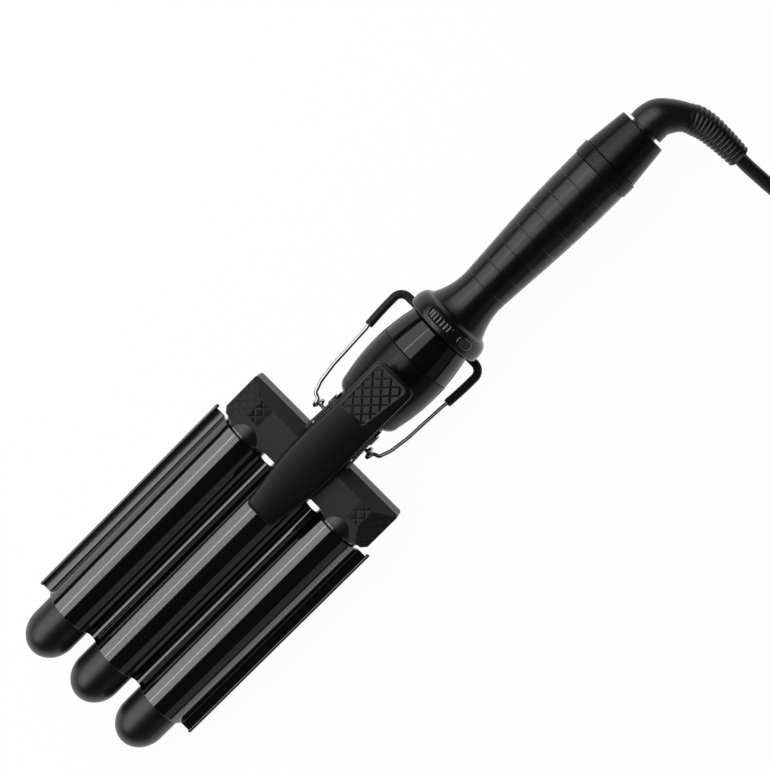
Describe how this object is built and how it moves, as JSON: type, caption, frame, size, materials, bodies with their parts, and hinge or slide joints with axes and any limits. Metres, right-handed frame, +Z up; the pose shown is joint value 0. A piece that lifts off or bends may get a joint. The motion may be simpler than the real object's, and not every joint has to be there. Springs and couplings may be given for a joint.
{
  "type": "hair waver",
  "caption": "Corded hair waver with three parallel heated barrels, a corrugated wave plate on a sprung thumb lever, a folding wire stand, a round handle and a swivelling cord.",
  "frame": {"origin": "centre of the tool's footprint on the table it lies on, without the cord and its relief", "axes": "+X from the tip caps towards the cord, +Z up on the lever's side, +Y towards the left barrel as seen from the tips"},
  "size_m": [0.5152, 0.2008, 0.0526],
  "materials": {
    "barrel_coat": "ceramic coated, glossy",
    "plate_coat": "high gloss black",
    "heater_ceramic": "fired ceramic",
    "spreader_metal": "extruded",
    "heat_plastic": "fine matt",
    "block_plastic": "satin with a diamond quilt",
    "neck_plastic": "matt",
    "bright_steel": "bright plated",
    "plain_steel": "plain",
    "dull_steel": "dull plated",
    "spring_steel": "oiled",
    "lever_plastic": "satin",
    "pad_plastic": "diamond grooves",
    "sleeve_rubber": "matt",
    "body_satin": "satin",
    "body_gloss": "glossy",
    "grip_soft": "soft touch, grooved rings",
    "band_plastic": "matt",
    "board_green": "solder mask",
    "switch_plastic": "matt",
    "control_gloss": "glossy",
    "relief_rubber": "matt, ribbed",
    "cord_jacket": "matt jacket",
    "plug_plastic": "moulded"
  },
  "bodies": {
    "base": {"barrel_left": "barrel_coat", "barrel_middle": "barrel_coat", "barrel_right": "barrel_coat", "tip_cap_left": "heat_plastic", "tip_cap_middle": "heat_plastic", "tip_cap_right": "heat_plastic", "heater_left": "heater_ceramic", "heater_middle": "heater_ceramic", "heater_right": "heater_ceramic", "heat_spreaders": "spreader_metal", "barrel_collars": "heat_plastic", "block_upper": "block_plastic", "block_lower": "block_plastic", "block_screws": "plain_steel", "neck": "neck_plastic", "pivot_bracket": "dull_steel", "bracket_screws": "plain_steel", "pivot_pin": "bright_steel", "stand_pins": "bright_steel", "lever_spring": "spring_steel", "body_front": "body_satin", "body_rear": "body_gloss", "handle_upper": "grip_soft", "handle_lower": "grip_soft", "handle_screws": "plain_steel", "rear_band": "band_plastic", "end_cap": "band_plastic", "control_board": "board_green", "dial_board": "board_green", "power_switch": "switch_plastic"},
    "clamp": {"lever": "lever_plastic", "lever_pad": "pad_plastic", "wave_plate": "plate_coat", "plate_rivets": "plain_steel"},
    "stand": {"stand_wire": "bright_steel", "stand_sleeve": "sleeve_rubber"},
    "dial": {"temperature_dial": "control_gloss"},
    "button": {"power_button": "control_gloss"},
    "cord": {"strain_relief": "relief_rubber", "cord_lead": "cord_jacket", "cord_coil": "cord_jacket", "cord_tail": "cord_jacket", "plug_body": "plug_plastic", "plug_pins": "bright_steel"}
  },
  "joints": [
    {"name": "clamp_hinge", "type": "hinge", "parent": "base", "child": "clamp", "pos_m": [0.00197, 0, 0.03151], "axis": [0, 1, 0], "range_deg": [0, 10], "stiffness_Nm_per_rad": 0.6, "springref_deg": -20.05, "deforming": ["lever_spring"]},
    {"name": "stand_hinge", "type": "hinge", "parent": "base", "child": "stand", "pos_m": [-0.00612, 0, 0.01715], "axis": [0, 1, 0], "range_deg": [0, 115]},
    {"name": "dial_turn", "type": "hinge", "parent": "base", "child": "dial", "pos_m": [0.06541, 0.00244, 0.03424], "axis": [0.9991, 0, 0.043], "range_deg": [0, 270]},
    {"name": "button_press", "type": "slide", "parent": "base", "child": "button", "axis": [0.0356, 0.5592, -0.8283], "range_m": [0, 0.001], "stiffness_N_per_m": 250, "springref_m": -0.002},
    {"name": "cord_swivel", "type": "hinge", "parent": "base", "child": "cord", "pos_m": [0.19357, 0, 0.02874], "axis": [0.9991, 0, 0.043], "continuous": true}
  ]
}
